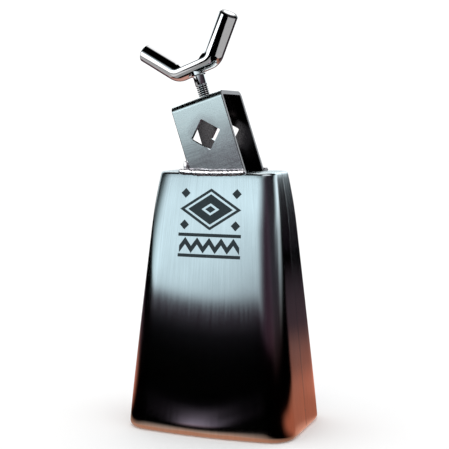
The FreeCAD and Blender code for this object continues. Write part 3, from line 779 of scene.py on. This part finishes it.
def threaded_radius(height, angle):
    """The thread's radius: flat crests and roots, with flanks between, fading at both ends."""
    turn = (height / PITCH - angle / (2 * math.pi)) % 1.0
    groove = smooth(0.10, 0.38, turn) * smooth(0.90, 0.62, turn)
    starting = smooth(THREAD_LOW, THREAD_LOW + 0.8, height)
    ending = smooth(THREAD_HIGH, THREAD_HIGH - 0.8, height)
    return THREAD_RADIUS - THREAD_DEPTH * groove * (starting * ending)


def stud_rows():
    """Heights up the stud and the radius there, or None where the thread gives it."""
    low = THREAD_LOW
    rows = [(low - 2.25, TIP_HEAD - 0.5), (low - 2.05, TIP_HEAD), (low - 1.15, TIP_HEAD)]
    rows += [(low - 1.0, TIP_WAIST), (low - 0.1, TIP_WAIST), (low, THREAD_RADIUS - 0.5)]
    step = PITCH / ROWS_PER_TURN
    rows += [(low + 0.1 + k * step, None) for k in range(THREAD_TURNS * ROWS_PER_TURN)]
    rows += [(THREAD_HIGH + 0.25, NECK_RADIUS), (STUD_TOP - 0.3, NECK_RADIUS)]
    return rows + [(STUD_TOP, NECK_RADIUS - 0.3)]


def threaded_stud():
    """The stud on the bracket's axis, from the head in the pad to the handle's underside."""
    vertices, rows = [], stud_rows()
    for height, radius in rows:
        for column in range(STUD_COLUMNS):
            angle = 2 * math.pi * column / STUD_COLUMNS
            r = threaded_radius(height, angle) if radius is None else radius
            vertices.append(BRACKET_TURN @ Vector((r * math.cos(angle), r * math.sin(angle), height)))
    faces = tube_faces(len(rows), STUD_COLUMNS)
    piece = new_piece("helical_stud", vertices, faces, "wing_bolt")
    piece.data.materials.append(stud_chrome)
    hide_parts("threaded_stud")


threaded_stud()


# The camera, at the photograph's viewing angle

CAMERA_PLACE = Vector((192.8, -486.6, 5.4))
CAMERA_TURN = math.radians(21.17)
CAMERA_PITCH = math.radians(5.51)
SENSOR = 36.0
FOCAL_PIXELS, IMAGE_PIXELS = 1049.9, 449

camera_data = bpy.data.cameras.new("camera")
camera_data.sensor_width = SENSOR
camera_data.lens = SENSOR * FOCAL_PIXELS / IMAGE_PIXELS
camera = new_object("camera", camera_data)
camera.location = CAMERA_PLACE * MM
camera.rotation_euler = (math.pi / 2 - CAMERA_PITCH, 0, CAMERA_TURN)
bpy.context.scene.camera = camera


# The floor

FLOOR_HALF = 4000.0
FLOOR_LEVEL = cad_box[0].z / MM


def level_square(name, level):
    """A square mesh as wide as the floor."""
    corners = [(-1, -1), (1, -1), (1, 1), (-1, 1)]
    places = [Vector((x * FLOOR_HALF, y * FLOOR_HALF, level)) * MM for x, y in corners]
    mesh = bpy.data.meshes.new(name)
    mesh.from_pydata(places, [], [(0, 1, 2, 3)])
    return mesh


floor_mesh = level_square("floor", FLOOR_LEVEL)
floor = new_object("floor", floor_mesh)
floor_paint = Nodes("pale_floor")
mottle = floor_paint.noise(floor_paint.place_mm(), 0.01, 2.0)
floor_paint.set(Base_Color=floor_paint.mix(mottle, tint(0.90, 0.90, 0.90), tint(0.93, 0.93, 0.93)))
floor_paint.set(Roughness=0.9, Specular_IOR_Level=0.1)
floor_mesh.materials.append(floor_paint.material)
floor.visible_glossy = False


# The studio. The camera and the floor see an even white room. Reflections see a dome of soft boxes
# round the bell and a ground of their own. Azimuth 0 is in front of the bell and turns to its
# right; elevation is over the horizon, from the middle of the bell.

DOME_CENTRE = Vector((0, 0, -80))
DOME_RADIUS = 1500.0
GROUND_DROP = 0.1
# A slanted box has its left and right edges as given at this elevation.
SLANT_LEVEL = 8.0


class Glow(Nodes):
    """An emission that is painted by azimuth and by one more coordinate."""

    def __init__(self, name, centre):
        super().__init__(name)
        self.tree.nodes.remove(self.shader)
        offset = self.add("VectorMath", [(0, self.place_mm()), (1, centre)], operation="SUBTRACT")
        self.x, self.y, height = self.axes(offset.outputs[0])
        self.distance = self.length(self.x, self.y)
        self.elevation = self.math("DEGREES", self.math("ARCTAN2", height, self.distance))
        self.total = (0.0, 0.0, 0.0)

    def off_azimuth(self, centre):
        """Degrees of azimuth from a centre, from -180 to 180."""
        sine, cosine = math.sin(math.radians(centre)), math.cos(math.radians(centre))
        x_ahead, y_ahead = self.math("MULTIPLY", self.x, sine), self.math("MULTIPLY", self.y, cosine)
        x_right, y_right = self.math("MULTIPLY", self.x, cosine), self.math("MULTIPLY", self.y, sine)
        ahead = self.math("SUBTRACT", x_ahead, y_ahead)
        right = self.math("ADD", x_right, y_right)
        return self.math("DEGREES", self.math("ARCTAN2", right, ahead))

    def edge(self, number, dark, bright):
        """0 at dark, 1 at bright, and an even curve between."""
        if dark > bright:
            return self.remap(number, bright, dark, 1.0, 0.0)
        return self.remap(number, dark, bright)

    def box(
        self, along, colour, centre, left=None, right=None, low=None, high=None, power=1.0, slant=0.0
    ):
        """Adds light between soft edges, each a (dark, bright) pair.

        Left and right are degrees of azimuth from the centre, low and high are along the other
        coordinate. A slanted box moves left by that many degrees for each degree down."""
        off = self.off_azimuth(centre)
        if slant:
            below = self.math("SUBTRACT", SLANT_LEVEL, along)
            off = self.math("ADD", off, self.math("MULTIPLY", below, slant))
        edges = [self.edge(off, *pair) for pair in (left, right) if pair]
        edges += [self.edge(along, *pair) for pair in (low, high) if pair]
        share = edges[0]
        for other in edges[1:]:
            share = self.math("MULTIPLY", share, other)
        if power != 1.0:
            share = self.math("POWER", share, power)
        lit = self.brightened(colour, share)
        self.total = self.add("VectorMath", [(0, self.total), (1, lit)], operation="ADD").outputs[0]

    def finish(self, mesh):
        emission = self.add("Emission", [("Color", self.total)])
        output = next(node for node in self.tree.nodes if node.type == "OUTPUT_MATERIAL")
        self.put(output.inputs["Surface"], emission.outputs[0])
        self.material.cycles.emission_sampling = "NONE"
        mesh.materials.append(self.material)


def reflected_only(name, mesh):
    """A stage object that nothing but reflections see."""
    card = new_object(name, mesh)
    for ray in ("camera", "diffuse", "transmission", "volume_scatter", "shadow"):
        setattr(card, "visible_" + ray, False)


def sphere(name, centre, radius):
    form = bmesh.new()
    bmesh.ops.create_uvsphere(form, u_segments=96, v_segments=48, radius=radius * MM)
    bmesh.ops.translate(form, verts=form.verts, vec=centre * MM)
    mesh = bpy.data.meshes.new(name)
    form.to_mesh(mesh)
    form.free()
    return mesh


dome_mesh = sphere("dome", DOME_CENTRE, DOME_RADIUS)
reflected_only("dome", dome_mesh)
dome = Glow("dome_light", DOME_CENTRE)
up = dome.elevation
# The big box in front, to the left: it fades out round the left corner.
dome.box(
    up, (0.90, 1.07, 1.11), -20, left=(-108, -16), right=(55, -5), low=(1.3, 2.5), high=(38, 22),
    power=1.8, slant=2.0,
)
# A violet margin round that box's lower and right edges.
dome.box(up, (0.045, 0.024, 0.036), 0, left=(-70, -40), right=(66, 44), low=(-0.4, 1.6), high=(32, 20))
# The strip behind, to the right, that runs down the right corner and widens at the top.
dome.box(
    up, (0.64, 0.68, 0.70), 138, left=(-34, -8), right=(25, 12), low=(-1.5, 5.0), high=(40, 25),
    slant=2.5,
)
dome.box(
    up, (0.52, 0.58, 0.60), 138, left=(-56, -26), right=(37, 24), low=(4.0, 9.0), high=(40, 25),
    slant=2.5,
)
# The dim violet room behind, to the right.
dome.box(up, (0.022, 0.013, 0.020), 185, left=(-32, -12), right=(50, 20), low=(-9, -3), high=(30, 10))
# A box behind that only the bell's back reflects.
dome.box(up, (0.75, 0.85, 0.88), 200, left=(-32, -18), right=(50, 30), low=(1.0, 4.0), high=(40, 22))
# A faint box on the right, in the dark part of the right corner.
dome.box(up, (0.035, 0.028, 0.035), 78, left=(-40, -20), right=(30, 16), low=(-3, 3), high=(60, 30))
# The white backdrop, high behind.
dome.box(up, (1.05, 1.05, 1.05), 200, left=(-26, -16), right=(42, 22), low=(22, 34), high=(85, 70))
# A high box on the right.
dome.box(up, (1.0, 1.0, 1.02), 76, left=(-40, -26), right=(40, 26), low=(28, 36), high=(68, 58))
dome.finish(dome_mesh)

ground_mesh = level_square("ground", FLOOR_LEVEL - GROUND_DROP)
reflected_only("ground", ground_mesh)
ground = Glow("ground_light", DOME_CENTRE)
away = ground.distance
# Copper light behind, near the bell, and dull violet further off.
ground.box(away, (0.47, 0.24, 0.175), 195, left=(-60, -34), right=(86, 50), high=(440, 110))
ground.box(away, (0.075, 0.050, 0.062), 195, left=(-62, -34), right=(85, 50), high=(1300, 250))
# Copper light close to the right side.
ground.box(away, (0.40, 0.20, 0.145), 118, left=(-55, -30), right=(60, 40), high=(230, 100))
# Cream light at the foot of the bell, seen in its curled lip.
ground.box(away, (0.48, 0.42, 0.36), 0, high=(62, 44))
# A small patch in front, that narrows away from the bell.
ground.box(away, (0.20, 0.15, 0.185), -12, left=(-14, -4), right=(12, 2), low=(64, 92), high=(170, 85))
ground.box(away, (0.18, 0.135, 0.165), -17, left=(-9, -1), right=(8, 1), low=(68, 100), high=(270, 120))
ground.finish(ground_mesh)

ROOM_WHITE = tint(1.12, 1.12, 1.12)

world = bpy.data.worlds.new("white_room")
world.use_nodes = True
world.node_tree.nodes["Background"].inputs["Color"].default_value = ROOM_WHITE
bpy.context.scene.world = world

# The point that two of the wing handle's lights face.
WING_MIDDLE = (-10, 0, 36)


def soft_light(name, place, target, width, height, radiance, only=None):
    """A soft box, in millimetres, that faces a target. It may light only some pieces."""
    data = bpy.data.lights.new(name, "AREA")
    data.shape = "RECTANGLE"
    data.size, data.size_y = width * MM, height * MM
    data.energy = radiance * math.pi * data.size * data.size_y
    light = new_object(name, data)
    light.location = Vector(place) * MM
    light.rotation_euler = (Vector(target) - Vector(place)).to_track_quat("-Z", "Y").to_euler()
    light.visible_camera = False
    light.visible_glossy = only is not None
    light.light_linking.receiver_collection = only


def group(name, pieces):
    """A collection that isn't in the scene, for light linking."""
    collection = bpy.data.collections.new(name)
    for piece in pieces:
        collection.objects.link(bpy.data.objects[piece])
    return collection


wing_bolt = group("wing_bolt_pieces", ("wing_handle", "helical_stud"))
beads = group("bead_pieces", ("front_bead",))
tops = group("top_pieces", ("mounting_bracket", "front_skin", "back_skin", "crown_weld"))

# The room's own light is broad and from above. The rest light single pieces: the tops, the round
# chrome, by a bright box and three weaker ones, and the front bead.
soft_light("overhead", (-150, -250, 900), (0, 0, -145), 900, 900, 0.5)
soft_light("crown_box", (60, 60, 620), (0, 0, 0), 420, 420, 0.5, only=tops)
soft_light("wing_box", (-238, -55, 36), WING_MIDDLE, 255, 116, 1.25, only=wing_bolt)
soft_light("wing_fill", (185, -50, -105), (0, 0, 45), 560, 120, 0.42, only=wing_bolt)
soft_light("wing_skirt", (-238, -55, -86), WING_MIDDLE, 255, 100, 0.36, only=wing_bolt)
soft_light("wing_low", (-108, -100, -112), (0, 0, 36), 190, 170, 0.30, only=wing_bolt)
soft_light("bead_box", (-150, -380, 330), (4, -16, -18), 700, 420, 3.0, only=beads)

bpy.context.scene.view_settings.view_transform = "Standard"
